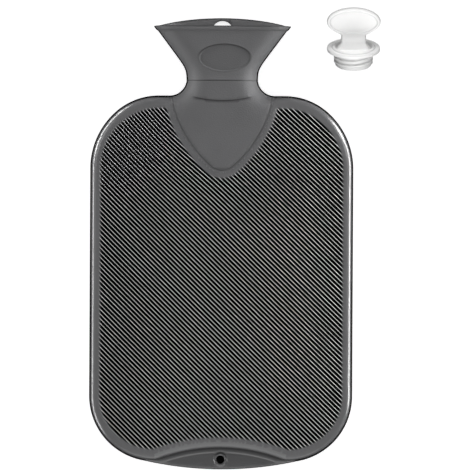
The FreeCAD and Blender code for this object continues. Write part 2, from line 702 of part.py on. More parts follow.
def stopper_thread(body):
    """Coarse thread ridge round the plug."""
    sketch = new_sketch(body, "thread_profile", "XZ_Plane")
    root = "sizes.thread_pitch / 3"
    inside = f"{PLUG_CORE} - sizes.thread_height / 2"
    outside = f"{PLUG_CORE} + sizes.thread_height"
    polygon(
        sketch,
        [
            (inside, f"{THREAD_START} - {root}"),
            (outside, f"{THREAD_START} - {CREST_HALF}"),
            (outside, f"{THREAD_START} + {CREST_HALF}"),
            (inside, f"{THREAD_START} + {root}"),
        ],
    )
    helix = body.newObject("PartDesign::AdditiveHelix", "stopper_thread")
    helix.Profile = sketch
    helix.ReferenceAxis = (sketch, ["V_Axis"])
    helix.Mode = 1
    bind(helix, Pitch="sizes.thread_pitch", Turns="sizes.thread_turns")
    doc.recompute()


def centred_pad(body, sketch, length):
    feature = body.newObject("PartDesign::Pad", f"{sketch.Name}_pad")
    feature.Profile = sketch
    feature.Midplane = True
    bind(feature, Length=length)
    doc.recompute()
    return feature


def stopper_grip(body):
    """Waisted stem and oval grip with a raised rim on both faces."""
    dish = "sizes.flange_thickness - sizes.collar_height"
    base = "sizes.flange_thickness + sizes.stem_height"
    middle = f"{base} + sizes.grip_height / 2"
    stem = new_sketch(body, "stem_outline", "XZ_Plane")
    polygon(
        stem,
        [
            ("-sizes.stem_foot / 2", dish),
            ("sizes.stem_foot / 2", dish),
            ("sizes.stem_waist / 2", f"{dish} + sizes.stem_height / 2"),
            ("sizes.stem_waist / 2", f"{base} + sizes.grip_height / 4"),
            ("-sizes.stem_waist / 2", f"{base} + sizes.grip_height / 4"),
            ("-sizes.stem_waist / 2", f"{dish} + sizes.stem_height / 2"),
        ],
    )
    centred_pad(body, stem, "sizes.stem_thickness")
    grip = new_sketch(body, "grip_outline", "XZ_Plane")
    add_oval(grip, "sizes.grip_width", "sizes.grip_height", middle)
    centred_pad(body, grip, "sizes.grip_thickness")
    for name, side in (("front", "1"), ("rear", "-1")):
        hollow = new_sketch(body, f"grip_{name}", "XZ_Plane")
        add_oval(
            hollow, "sizes.grip_width - 2 * sizes.grip_rim",
            "sizes.grip_height - 2 * sizes.grip_rim", middle,
        )
        level = f"{side} * (sizes.grip_thickness / 2 - sizes.grip_recess)"
        hollow.setExpression("AttachmentOffset.Base.z", level)
        pocket = body.newObject("PartDesign::Pocket", f"grip_{name}_recess")
        pocket.Profile = hollow
        pocket.Reversed = side == "1"
        bind(pocket, Length="sizes.grip_recess")
        before = body.Shape.Volume
        doc.recompute()
        assert body.Shape.Volume < before, pocket.Name


def make_stopper():
    body = new_body("stopper")
    stopper_turned(body)
    stopper_thread(body)
    stopper_grip(body)
    rest_on_floor(body)
    return body


def rest_on_floor(body):
    """Lay the stopper on its flange rim and its lowest thread crest, grip towards +Y."""
    step = value(f"{FLANGE} - ({PLUG_CORE} + sizes.thread_height)")
    crest = value(f"{THREAD_START} + sizes.thread_pitch / 4 - {CREST_HALF}")
    tilt = math.degrees(math.atan2(step, -crest))
    lying = FreeCAD.Rotation(FreeCAD.Vector(1, 0, 0), tilt - 90)
    body.Placement = FreeCAD.Placement(FreeCAD.Vector(0, 0, 0), lying)
    doc.recompute()
    drop = body.Shape.optimalBoundingBox().ZMin
    side = value("sizes.mouth_width / 2 + sizes.stopper_apart")
    level = value(f"{SHOULDER} + sizes.stopper_rise")
    body.Placement = FreeCAD.Placement(FreeCAD.Vector(side, level, -drop), lying)
    doc.recompute()


pieces = [make_bottle(), make_stopper()]
for item in doc.Objects:
    assert not {"Invalid", "Error"} & set(item.State), f"{item.Name}: {item.State}"
os.makedirs("parts", exist_ok=True)
for piece in pieces:
    shape = piece.Shape
    assert not shape.isNull() and shape.isValid() and len(shape.Solids) == 1, piece.Label
    shape.exportStep(f"parts/{piece.Label}.step")
    print(piece.Label, "volume", round(shape.Volume), "mm3, faces", len(shape.Faces))
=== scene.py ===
"""Hot water bottle in dark grey PVC with its white stopper lying beside it.

Lengths in this script are millimetres until a mesh is made. The bag lies on its smooth back,
+Y runs to the funnel and +Z up to the ribbed front.
"""

import math

import bmesh
import bpy
import numpy as np
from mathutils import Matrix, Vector
from mathutils.geometry import delaunay_2d_cdt

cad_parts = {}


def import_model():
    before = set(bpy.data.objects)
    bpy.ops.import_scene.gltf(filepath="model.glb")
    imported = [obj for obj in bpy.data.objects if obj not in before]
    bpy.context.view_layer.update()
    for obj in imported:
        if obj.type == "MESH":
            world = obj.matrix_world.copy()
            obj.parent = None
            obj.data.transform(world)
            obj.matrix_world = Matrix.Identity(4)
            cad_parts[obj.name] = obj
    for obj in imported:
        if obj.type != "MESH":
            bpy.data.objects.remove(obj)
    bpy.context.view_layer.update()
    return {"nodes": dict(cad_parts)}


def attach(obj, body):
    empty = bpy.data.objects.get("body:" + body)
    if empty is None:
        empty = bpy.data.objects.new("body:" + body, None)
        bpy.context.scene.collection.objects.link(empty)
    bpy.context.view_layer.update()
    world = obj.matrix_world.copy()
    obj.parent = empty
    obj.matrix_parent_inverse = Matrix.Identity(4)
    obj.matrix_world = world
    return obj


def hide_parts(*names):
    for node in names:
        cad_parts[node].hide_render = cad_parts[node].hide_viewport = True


MM = 0.001
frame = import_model()

# Main sizes of the bag
MID = 23.0
SHOULDER = 142.0
CUT = 153.0
FLANK = 100.0
NECK_HALF = 27.155
NECK_CORNER = (40.0, 155.0)
NECK_CORNER_RADIUS = 13.0
RIDGE = 1.1
RIDGE_HALF = 0.8
LIP_TOP = ((0.6, 0.8), (0.9, 0.72), (1.06, 0.5), (1.1, 0.2))
RIDGE_LIP = (*LIP_TOP, *((out, -up) for out, up in reversed(LIP_TOP)))
WELD = 0.002
WALL_RISE = 16.9
WALL_WIDTH = 0.8
BEVEL_SLOPE = 0.95
BEVEL_START = 0.8
BEVEL_WIDTH = 3.4
PILLOW_WIDTH = 75.0
PILLOW_RISE = 3.6
NECK_RISE = 22.2
NECK_POWER = 3.1
BACK_WIDTH = 15.0

# Ribs
PITCH = 2.55
GROOVE_DEPTH = 1.9
# Across a rib, per phase: share of the groove depth, which also sets the black painted shade in the groove,
# and the painted highlight on the crest
PHASES = (-0.36, -0.2, -0.11, -0.055, 0.0, 0.055, 0.11, 0.2, 0.36, 0.5)
DEPTHS = (0.97, 0.88, 0.6, 0.12, 0.0, 0.12, 0.6, 0.88, 0.97, 1.0)
CREST_HIGHLIGHTS = (0.0, 0.0, 0.0, 0.8, 1.0, 0.8, 0.0, 0.0, 0.0, 0.0)
RIB_STEP = 1.5
BEND_ALONG = (-0.011, 0.006, -0.6)
BEND_AT_YOKE = (2.4, -2.8, 4.0)
FADE = 2.6

# Yoke and foot tab
YOKE_TIP = 12.0
YOKE_BOW = 92.0
YOKE_LEAN = math.radians(41.0)
YOKE_REACH = 56.7
YOKE_PROUD = 0.25
NOTCH = 5.0
TAB_HALF = 2.0
FOOT_CENTRE = (50.0, -86.3)
FOOT_RADIUS = 50.0
BAY_CENTRE = (0.0, -258.6)
BAY_RADIUS = 132.0
BAY_BEND = 16.0
BASE_CENTRE = (0.0, 126.0)
BASE_RADIUS = 268.0
EYELET = (0.0, -134.5)
EYELET_PROFILE = (
    (3.0, 1.7), (3.15, 2.4), (3.5, 2.85), (4.1, 3.0), (4.6, 2.85), (5.0, 2.4), (5.35, 2.08), (5.9, TAB_HALF),
)
EYELET_COUNT = 48
COLLAR_RADIUS = 90.0
COLLAR_CENTRE = (0.0, 138.2 + COLLAR_RADIUS)
COLLAR_PROUD = 0.55


def smooth(value):
    """Soft step from 0 to 1."""
    value = np.clip(value, 0.0, 1.0)
    return value * value * (3.0 - 2.0 * value)


def arc(centre, radius, start, end, step):
    """Points and travel directions on an arc, angles in degrees."""
    count = max(2, int(math.ceil(abs(math.radians(end - start)) * radius / step)))
    angle = np.radians(np.linspace(start, end, count + 1))
    turn = math.copysign(1.0, end - start)
    points = np.stack([np.cos(angle), np.sin(angle)], 1) * radius + centre
    travel = np.stack([-np.sin(angle), np.cos(angle)], 1) * turn
    return points, travel


def line(start, end, step):
    """Points and travel directions on a straight run."""
    start, end = np.array(start, float), np.array(end, float)
    length = np.linalg.norm(end - start)
    count = max(1, int(math.ceil(length / step)))
    share = np.linspace(0.0, 1.0, count + 1)[:, None]
    return start + share * (end - start), np.repeat([(end - start) / length], count + 1, 0)


def chain(segments):
    """One run of points with inward normals from segments that follow each other clockwise."""
    points, travel = [], []
    for index, (place, way) in enumerate(segments):
        skip = 0 if index == 0 else 1
        points.append(place[skip:])
        travel.append(way[skip:])
    points, travel = np.concatenate(points), np.concatenate(travel)
    return points, np.stack([travel[:, 1], -travel[:, 0]], 1)


def whole(points, normals):
    """Right half, from the top down, and its mirror image back up."""
    flip = np.array([-1.0, 1.0])
    left_points, left_normals = points[-2::-1] * flip, normals[-2::-1] * flip
    return np.concatenate([points, left_points]), np.concatenate([normals, left_normals])


def bay_corner():
    """Centre of the arc that turns a lower corner into the bay: where two circles meet."""
    foot, bay = np.array(FOOT_CENTRE), np.array(BAY_CENTRE)
    near, far = FOOT_RADIUS - BAY_BEND, BAY_RADIUS + BAY_BEND
    gap = np.linalg.norm(bay - foot)
    along = (gap**2 + near**2 - far**2) / (2.0 * gap)
    way = (bay - foot) / gap
    return foot + along * way + math.sqrt(near**2 - along**2) * np.array([-way[1], way[0]])


def heading(start, end):
    """Direction in degrees."""
    return math.degrees(math.atan2(end[1] - start[1], end[0] - start[0]))


def right_half(top):
    """Silhouette of the bag from the neck down to the middle of the bay."""
    start = 180.0 + math.degrees(math.asin((NECK_CORNER[1] - CUT) / NECK_CORNER_RADIUS))
    parts = []
    if top > CUT:
        parts.append(line((NECK_HALF, top), (NECK_HALF, CUT), 1.2))
    corner = bay_corner()
    bend, turn = heading(FOOT_CENTRE, corner), heading(corner, BAY_CENTRE)
    parts += [
        arc(NECK_CORNER, NECK_CORNER_RADIUS, start, 270.0, 1.0),
        line((NECK_CORNER[0], SHOULDER), (48.0, SHOULDER), 1.6),
        arc((48.0, 92.7), 49.3, 90.0, 47.96, 1.3),
        arc((42.5, 86.6), 57.5, 47.96, 0.0, 1.3),
        line((FLANK, 86.6), (FLANK, FOOT_CENTRE[1]), 2.6),
        arc(FOOT_CENTRE, FOOT_RADIUS, 0.0, bend, 1.3),
        arc(corner, BAY_BEND, bend, turn, 0.9),
        arc(BAY_CENTRE, BAY_RADIUS, turn + 180.0, 90.0, 1.3),
    ]
    return chain(parts)


def distances(points, polyline):
    """Shortest distance from each point to an open run of points."""
    start, end = polyline[:-1], polyline[1:]
    step = end - start
    length = (step * step).sum(1)
    keep = length > 1e-12
    start, step, length = start[keep], step[keep], length[keep]
    result = np.empty(len(points))
    for low in range(0, len(points), 2000):
        part = points[low : low + 2000, None, :] - start[None]
        share = np.clip((part * step[None]).sum(2) / length[None], 0.0, 1.0)
        gap = part - share[:, :, None] * step[None]
        result[low : low + 2000] = np.sqrt((gap * gap).sum(2).min(1))
    return result


def inside(points, polygon):
    """True where a point lies in a closed polygon."""
    x, y = points[:, 0], points[:, 1]
    result = np.zeros(len(points), bool)
    for (ax, ay), (bx, by) in zip(polygon, np.roll(polygon, -1, 0)):
        crosses = (ay > y) != (by > y)
        if ay != by:
            result ^= crosses & (x < (bx - ax) * (y - ay) / (by - ay) + ax)
    return result


def yoke_half(grow, step):
    """Right side of the yoke outline from its top down to the tip."""
    nose_y = SHOULDER - YOKE_REACH + YOKE_TIP
    back = YOKE_BOW - YOKE_TIP
    side = (-back * math.sin(YOKE_LEAN), nose_y + back * math.cos(YOKE_LEAN))
    lean = math.degrees(YOKE_LEAN)
    top = math.degrees(math.asin((SHOULDER - side[1]) / YOKE_BOW))
    return chain([
        arc(side, YOKE_BOW + grow, top, lean - 90.0, step),
        arc((0.0, nose_y), YOKE_TIP + grow, lean - 90.0, -90.0, step),
    ])[0]


def mirrored(points):
    """A run of points and its mirror image back up."""
    return np.concatenate([points, points[-2::-1] * np.array([-1.0, 1.0])])


def shell(points, normals, inset):
    """A contour moved inwards."""
    return points + normals * inset


def denser(points, normals, places):
    """More points on a contour where it passes near one of the places."""
    parts = [[points[:1], normals[:1]]]
    for at in range(len(points) - 1):
        near = min(np.hypot(*(points[at] - np.array(place))) for place in places) < 3.5
        share = np.linspace(0.0, 1.0, 7 if near else 2)[1:, None]
        way = normals[at] + (normals[at + 1] - normals[at]) * share
        way /= np.linalg.norm(way, axis=1)[:, None]
        parts.append([points[at] + (points[at + 1] - points[at]) * share, way])
    return [np.concatenate(part) for part in zip(*parts)]


# Silhouettes: the shell of the bag lies inside the parting ridge by the ridge's width, and the far
# shell runs on straight up the neck, so that depths near the neck are measured from its sides
FAR_TOP = 190.0
yoke_line = mirrored(yoke_half(0.0, 1.0))
ridge_points, ridge_normals = denser(*whole(*right_half(CUT)), (yoke_line[0], yoke_line[-1]))
ridge_normals[0], ridge_normals[-1] = (-1.0, 0.0), (1.0, 0.0)
shell_points = shell(ridge_points, ridge_normals, RIDGE)
far_points, far_normals = whole(*right_half(FAR_TOP))
far_shell = shell(far_points, far_normals, RIDGE)
yoke_area = np.concatenate([[[yoke_line[0][0], 260.0]], yoke_line, [[yoke_line[-1][0], 260.0]]])


def yoke_depth(points):
    """How far a point lies inside the yoke, negative outside."""
    depth = distances(points, yoke_area)
    return np.where(inside(points, yoke_area), depth, -depth)


def collar_gap(points):
    """How far a point lies above the lower edge of the raised tube in the neck."""
    reach = np.hypot(points[:, 0] - COLLAR_CENTRE[0], points[:, 1] - COLLAR_CENTRE[1])
    return COLLAR_RADIUS - reach


def seam(gap):
    """Shade in the corner between the wall and the parting ridge."""
    return 0.97 * (1.0 - smooth((gap - 0.1) / 0.35))


def neck_share(points):
    """1 at the neck and 0 in the bag."""
    reach = np.hypot(points[:, 0], points[:, 1] - 155.0)
    return smooth((58.0 - reach) / 32.0)


def quarter(share, power=2.0):
    """Quarter round: 0 with an upright tangent at 0, level from 1 on; a high power is fuller."""
    return (1.0 - np.clip(1.0 - share, 0.0, 1.0) ** power) ** (1.0 / power)


def front_height(points, depth, yoke):
    """Height over mid depth of the front without ribs; yoke is the signed distance inside the yoke."""
    share = neck_share(points)
    turn = np.clip((depth - BEVEL_START) / BEVEL_WIDTH, 0.0, 1.0)
    bevel = np.minimum(depth, BEVEL_START) + BEVEL_WIDTH * (turn - turn**3 + 0.5 * turn**4)
    flat = WALL_RISE * quarter(depth / WALL_WIDTH) + BEVEL_SLOPE * bevel
    flat += PILLOW_RISE * (1.0 - np.clip(1.0 - depth / PILLOW_WIDTH, 0.0, 1.0) ** 2)
    height = flat + (NECK_RISE * quarter(depth / NECK_RISE, NECK_POWER) - flat) * share
    raised = YOKE_PROUD * smooth(yoke / 0.5 + 0.5) * smooth(depth / 6.0)
    tube = collar_gap(points)
    across = smooth((24.5 - np.abs(points[:, 0])) / 6.0)
    raised += COLLAR_PROUD * smooth(tube / 0.7 + 0.5) * across * smooth((tube + 3.0) / 3.0)
    return np.maximum(height + raised, RIDGE_HALF)


def back_height(points, depth, _yoke):
    """Depth below mid depth of the smooth back."""
    share = neck_share(points)
    width = BACK_WIDTH + (NECK_RISE - BACK_WIDTH) * share
    rest = np.clip(1.0 - depth / width, 0.0, 1.0)
    power = 2.0 + (NECK_POWER - 2.0) * share
    edge = (1.0 - rest**power) ** (1.0 / power)
    return np.maximum((MID + (NECK_RISE - MID) * share) * edge, RIDGE_HALF)


def rib_warp(points):
    """Shift of the rib pattern in pitches: a slight turn, and a bend round the top of the yoke."""
    x, y = points[:, 0], points[:, 1]
    bump = np.exp(-((x / 45.0) ** 2) - ((y - 128.0) / 45.0) ** 2)
    local = BEND_AT_YOKE[0] + BEND_AT_YOKE[1] * x / 40.0 + BEND_AT_YOKE[2] * (x / 40.0) ** 2
    wide = BEND_ALONG[0] * x + BEND_ALONG[1] * y + BEND_ALONG[2] * (x / 100.0) ** 2
    return (wide + local * bump) / PITCH


def rib_room(points):
    """How far a point lies inside the ribbed field, negative outside."""
    depth = distances(points, far_shell)
    border = 6.0 + 1.8 * smooth((np.abs(points[:, 1]) - 95.0) / 40.0)
    within = inside(points, np.concatenate([far_shell, [[0.0, FAR_TOP]]]))
    room = np.where(within, depth, -depth) - border
    return np.minimum(room, -yoke_depth(points) - NOTCH)


def rib_columns():
    """Runs of points along the ribs: a list of (points, (share of the groove depth, which also sets the
    painted shade, painted highlight on the crest)).
    """
    root = math.sqrt(0.5)
    nodes = np.arange(-190.0, 190.0, RIB_STEP)
    ribs = range(int(-175 / PITCH), int(165 / PITCH))
    targets = np.array([rib + phase for rib in ribs for phase in PHASES])
    reliefs = list(zip(DEPTHS, CREST_HIGHLIGHTS)) * len(ribs)
    across = np.repeat(targets[:, None] * PITCH, len(nodes), 1)
    along = np.repeat(nodes[None], len(targets), 0)
    for _ in range(4):
        flat = np.stack([(across + along) * root, (across - along) * root], 2).reshape(-1, 2)
        warp = rib_warp(flat).reshape(across.shape)
        across = (targets[:, None] - warp) * PITCH
    flat = np.stack([(across + along) * root, (across - along) * root], 2)
    near = (np.abs(flat[:, :, 0]) < 101) & (np.abs(flat[:, :, 1]) < 143)
    room = np.full(across.shape, -9.0)
    room[near] = rib_room(flat[near])
    made = []
    for row, relief in enumerate(reliefs):
        signs = room[row] > 0.0
        changes = np.flatnonzero(signs[1:] != signs[:-1])
        for left, right in zip(changes[::2], changes[1::2]):
            ends = []
            for at in (left, right):
                low, high = room[row, at], room[row, at + 1]
                share = low / (low - high)
                ends.append(flat[row, at] + share * (flat[row, at + 1] - flat[row, at]))
            if np.linalg.norm(ends[1] - ends[0]) < 1.0:
                continue
            middle = []
            for at in range(left + 1, right + 1):
                dense = min(at - left, right + 1 - at) * RIB_STEP < 5.5
                clear = min(np.linalg.norm(flat[row, at] - end) for end in ends) > 0.5
                if clear and (dense or at % 3 == 0):
                    middle.append(flat[row, at])
            made.append((np.array([ends[0], *middle, ends[1]]), relief))
    return made


def grid(low_x, high_x, low_y, high_y, step):
    """Evenly spaced points in a rectangle."""
    xs = np.arange(low_x, high_x + 1e-6, step)
    ys = np.arange(low_y, high_y + 1e-6, step)
    return np.stack(np.meshgrid(xs, ys), 2).reshape(-1, 2)


def triangulate(points, edges, border):
    """Triangles over points that respect edges, inside the border polygon."""
    made = delaunay_2d_cdt([Vector(p) for p in points.tolist()], edges, [], 0, 1e-5)
    places = np.array([(v.x, v.y) for v in made[0]])
    faces = np.array([tuple(f) for f in made[2]])
    origin = [ids[0] if ids else -1 for ids in made[3]]
    keep = inside(places[faces].mean(1), border)
    return places, faces[keep], np.array(origin)


def object_from(name, vertices, faces, material, shares):
    """Object with the point attributes that the materials read: painted shade, painted light and matte."""
    mesh = bpy.data.meshes.new(name)
    mesh.from_pydata((np.asarray(vertices) * MM).tolist(), [], [list(map(int, f)) for f in faces])
    places = np.asarray(vertices)[:, :2]
    matte = np.maximum(smooth(yoke_depth(places) / 4.0 + 0.5), places[:, 1] > CUT - 0.1)
    for kind, values in (("painted_shading", shares[:, 0]), ("painted_light", shares[:, 1]), ("matte", matte)):
        attribute = mesh.attributes.new(kind, "FLOAT", "POINT")
        attribute.data.foreach_set("value", np.asarray(values, np.float32))
    mesh.materials.append(material)
    made = bpy.data.objects.new(name, mesh)
    bpy.context.scene.collection.objects.link(made)
    return made


def tidy(made):
    """Weld doubled vertices, face outward and shade smooth."""
    work = bmesh.new()
    work.from_mesh(made.data)
    bmesh.ops.remove_doubles(work, verts=work.verts, dist=WELD * MM)
    bmesh.ops.dissolve_degenerate(work, edges=work.edges, dist=1e-7)
    bmesh.ops.recalc_face_normals(work, faces=work.faces)
    for face in work.faces:
        face.smooth = True
    work.to_mesh(made.data)
    work.free()
    return made


RING = np.array([5.0, 4.4, 3.9, 3.4, 2.9, 2.5, 2.1, 1.75, 1.4, 1.2, 1.0, 0.75, 0.5, 0.3, 0.15, 0.05, 0.0])


def ring_rows(height):
    """Rows of points from the inner border of the skin out to the wall."""
    rows = []
    for inset in RING:
        place = shell(shell_points, ridge_normals, inset)
        level = height(place, np.full(len(place), inset), yoke_depth(place))
        rows.append(np.column_stack([place, level]))
    return rows


def skin(height, extra, edges, relief):
    """Middle part of a skin: points of the inner border first, then the extra points."""
    border = shell(shell_points, ridge_normals, RING[0])
    top = line(border[-1], border[0], 1.4)[0][1:-1]
    contour = np.concatenate([border, top])
    count = len(contour)
    loop = [(i, (i + 1) % count) for i in range(count)]
    points = np.concatenate([contour, extra])
    joined = loop + [(a + count, b + count) for a, b in edges]
    places, faces, origin = triangulate(points, joined, contour)
    depth = distances(places, far_shell)
    level = height(places, depth, yoke_depth(places))
    shares = np.concatenate([np.zeros((count, 2)), relief])
    share = np.where((origin >= 0)[:, None], shares[np.maximum(origin, 0)], 0.0)
    return places, faces, level, share


def bag(material):
    """Front with its ribs, smooth back, walls and parting ridge."""
    vertices, faces, painted_shading = [], [], []

    def add(points, quads, shares=None):
        base = sum(len(v) for v in vertices)
        vertices.append(points)
        painted_shading.append(np.zeros((len(points), 2)) if shares is None else shares)
        faces.extend([[int(i) + base for i in quad] for quad in quads])

    def strip(rows, insets):
        columns = len(rows[0])
        quads = []
        for r in range(len(rows) - 1):
            for c in range(columns - 1):
                a = r * columns + c
                quads.append((a, a + 1, a + 1 + columns, a + columns))
        # Painted shade in the corner at the parting ridge and along the yoke line, weaker in the bay; painted
        # light lifts the bay's upper edge
        shade = np.repeat(seam(np.asarray(insets)), columns)
        rows = np.concatenate(rows)
        crease = np.exp(-((distances(rows[:, :2], yoke_line) / 0.35) ** 2)) * (rows[:, 2] > MID + 2.0)
        shade = shade * (1.0 - smooth((np.abs(rows[:, 2] - MID) - 1.5) / 2.5))
        shade = np.where((np.abs(rows[:, 0]) < 56.0) & (rows[:, 1] < -116.0), 0.45 * shade, shade)
        shade = np.maximum(shade, 0.5 * crease)
        bay = (np.abs(rows[:, 0]) < 50.0) & (rows[:, 1] < -116.0) & (rows[:, 2] > MID + 14.0)
        add(rows, quads, np.column_stack([shade, 0.05 * bay]))

    # Front
    runs = rib_columns()
    for offset in (-0.3, -0.1, 0.1, 0.3):
        crease = mirrored(yoke_half(offset, 1.4))
        runs.append((crease[distances(crease, far_shell) > RING[0] + 0.3], (0.0, 0.0)))
    for offset in (-0.4, -0.2, 0.0, 0.2, 0.4):
        runs.append((arc(COLLAR_CENTRE, COLLAR_RADIUS - offset, -106.0, -74.0, 1.4)[0], (0.0, 0.0)))
    extra, edges, relief, count = [], [], [], 0
    for points, given in runs:
        extra.append(points)
        relief.append(np.tile(given, (len(points), 1)))
        edges.extend((count + i, count + i + 1) for i in range(len(points) - 1))
        count += len(points)
    fill = grid(-96.0, 96.0, -138.0, 152.0, 2.0)
    room = rib_room(fill)
    depth = distances(fill, far_shell)
    border = shell(shell_points, ridge_normals, RING[0])
    free = inside(fill, border) & (room < -0.8) & (depth > RING[0] + 0.8) & (fill[:, 1] < CUT - 0.8)
    fill = fill[free]
    crease_gap = distances(fill, mirrored(yoke_half(0.0, 1.4)))
    collar = np.abs(collar_gap(fill))
    fill = fill[(crease_gap > 0.9) & ((collar > 1.2) | (np.abs(fill[:, 0]) > 26.0))]
    extra.append(fill)
    relief.append(np.zeros((len(fill), 2)))
    extra, relief = np.concatenate(extra), np.concatenate(relief)
    places, triangles, level, share = skin(front_height, extra, edges, relief)
    room = rib_room(places)
    fade = smooth(room / FADE)
    groove_share = np.clip(share[:, 0] - (1.0 - fade), 0.0, 1.0)
    tube = collar_gap(places)
    across = smooth((23.5 - np.abs(places[:, 0])) / 4.0)
    crease = np.exp(-((distances(places, yoke_line) / 0.35) ** 2))
    crease = np.maximum(crease, across * np.exp(-(((tube + 0.15) / 0.4) ** 2)))
    front = np.column_stack([places, MID + level - GROOVE_DEPTH * groove_share - 0.2 * crease])
    # Painted shade: black in the rib grooves and darker along the yoke line and collar crease; painted
    # highlight on the rib crests
    dark = np.maximum(np.clip(1.6 * groove_share, 0.0, 1.0), 0.5 * crease)
    add(front, triangles, np.column_stack([dark, share[:, 1] * fade]))
    rows = ring_rows(front_height)
    strip([np.column_stack([r[:, :2], MID + r[:, 2]]) for r in rows], RING)

    # Back
    spots = grid(-96.0, 96.0, -138.0, 152.0, 4.0)
    depth = distances(spots, far_shell)
    spots = spots[inside(spots, border) & (depth > RING[0] + 1.5) & (spots[:, 1] < CUT - 1.5)]
    places, triangles, level, _ = skin(back_height, spots, [], np.zeros((len(spots), 2)))
    add(np.column_stack([places, MID - level]), triangles)
    rows = ring_rows(back_height)
    strip([np.column_stack([r[:, :2], MID - r[:, 2]]) for r in rows], RING)

    # Parting ridge
    lip = ((0.0, RIDGE_HALF), *RIDGE_LIP, (0.0, -RIDGE_HALF))
    strip([
        np.column_stack([shell(shell_points, ridge_normals, -out), np.full(len(shell_points), MID + up)])
        for out, up in lip
    ], [0.0] * len(lip))
    made = object_from("bottle_bag", np.concatenate(vertices), faces, material, np.concatenate(painted_shading))
    return tidy(made)


# Neck, funnel and inner thread
FRONT_RIM = 195.0
BACK_ARCH = 6.4
ARCH_RADIUS = 206.4
BEAD = 4.0
SIDE_ANGLE = math.radians(16.3)
POCKET = 21.0
POCKET_TOP = 157.0
BORE = 14.1
TUBE_OUT = 15.9
TUBE_END = 131.0
BADGE = (1.8, 170.7, 19.8, 10.3)
FRONT_COUNT = 61
OVAL_COUNT = 96
HOLE_AT = (0.0, 191.2, 6.0)
HOLE_RADIUS = 8.0


def neck_width(y):
    """Half width of the shell inside the ridge at a level."""
    soft = 2.2
    return 27.12 - RIDGE + 0.745 * soft * np.log1p(np.exp((y - 161.8) / soft))


def section_height(x, y):
    """Half depth of the neck or funnel at a point of its front view."""
    return NECK_RISE * quarter((neck_width(y) - np.abs(x)) / NECK_RISE, NECK_POWER)


def oval_reach(points):
    """Distance in oval radii from the middle of the badge, 1 on its edge."""
    return np.hypot((points[:, 0] - BADGE[0]) / BADGE[2], (points[:, 1] - BADGE[1]) / BADGE[3])


def funnel_front(points):
    """Height of the front of the neck and funnel, with its collar and the bare oval recess."""
    x, y = points[:, 0], points[:, 1]
    height = section_height(x, y)
    collar = smooth((24.5 - np.abs(x)) / 6.0) * (1.0 - smooth((y - CUT) / 4.0))
    reach = (oval_reach(points) - 1.0) * BADGE[3]
    recess = -0.55 * smooth(-reach / 0.7)
    lip = 0.12 * np.exp(-((reach - 0.35) / 0.35) ** 2)
    return MID + height + COLLAR_PROUD * collar + recess + lip


def ring_spots(front_x):
    """Ring round the section: (cosine, side, out, up), from the front's left edge over the front."""
    spots = [(share, 1.0, 0.0, 0.0) for share in front_x]
    angles = np.linspace(SIDE_ANGLE, 0.0, 7)[1:]
    spots += [(math.cos(a), 1.0, 0.0, 0.0) for a in angles]
    spots += [(1.0, 0.0, out, up) for out, up in RIDGE_LIP]
    spots += [(math.cos(a), -1.0, 0.0, 0.0) for a in np.linspace(0.0, math.pi, 73)]
    spots += [(-1.0, 0.0, -out, -up) for out, up in RIDGE_LIP]
    spots += [(-math.cos(a), 1.0, 0.0, 0.0) for a in angles[::-1]]
    return spots


def ring_at(spots, level, drop, swell):
    """Ring of the outside at a share of its height, or a drop under the rim where drop is given."""
    made = []
    for share, side, out, up in spots:
        width = neck_width(FRONT_RIM)
        arch = BACK_ARCH - (share * (width + RIDGE)) ** 2 / (2.0 * ARCH_RADIUS) if side < 0 else 0.0
        top = FRONT_RIM + max(arch, 0.0)
        y = top - drop if drop is not None else CUT + (top - BEAD - CUT) * level
        width = float(neck_width(y))
        x = share * (width + swell) + out
        if side == 0.0:
            z = up
        else:
            rise = float(section_height(np.array(share * width), np.array(y)))
            z = side * max(rise * (1.0 + swell / NECK_RISE), RIDGE_HALF)
        made.append((x, y, MID + z))
    return np.array(made)


def inner_ring(spots, width, depth, y_front, y_back=None):
    """Ring of the inside, with its own level at the middle of the back where y_back is given."""
    made = []
    for share, side, _, _ in spots:
        y = y_front
        if y_back is not None and side < 0:
            y = y_front + (y_back - y_front) * (1.0 - share * share)
        rise = float(quarter((1.0 - abs(share)) * width / depth)) if depth else 0.0
        made.append((share * width, y, MID + side * depth * rise))
    return np.array(made)


def thread_radius(angle, y):
    """Radius of the bore with its thread."""
    turn = (y / 3.6 - angle / (2.0 * math.pi)) % 1.0
    return BORE + 1.1 * smooth((abs(turn - 0.5) * 2.0 - 0.25) / 0.4)


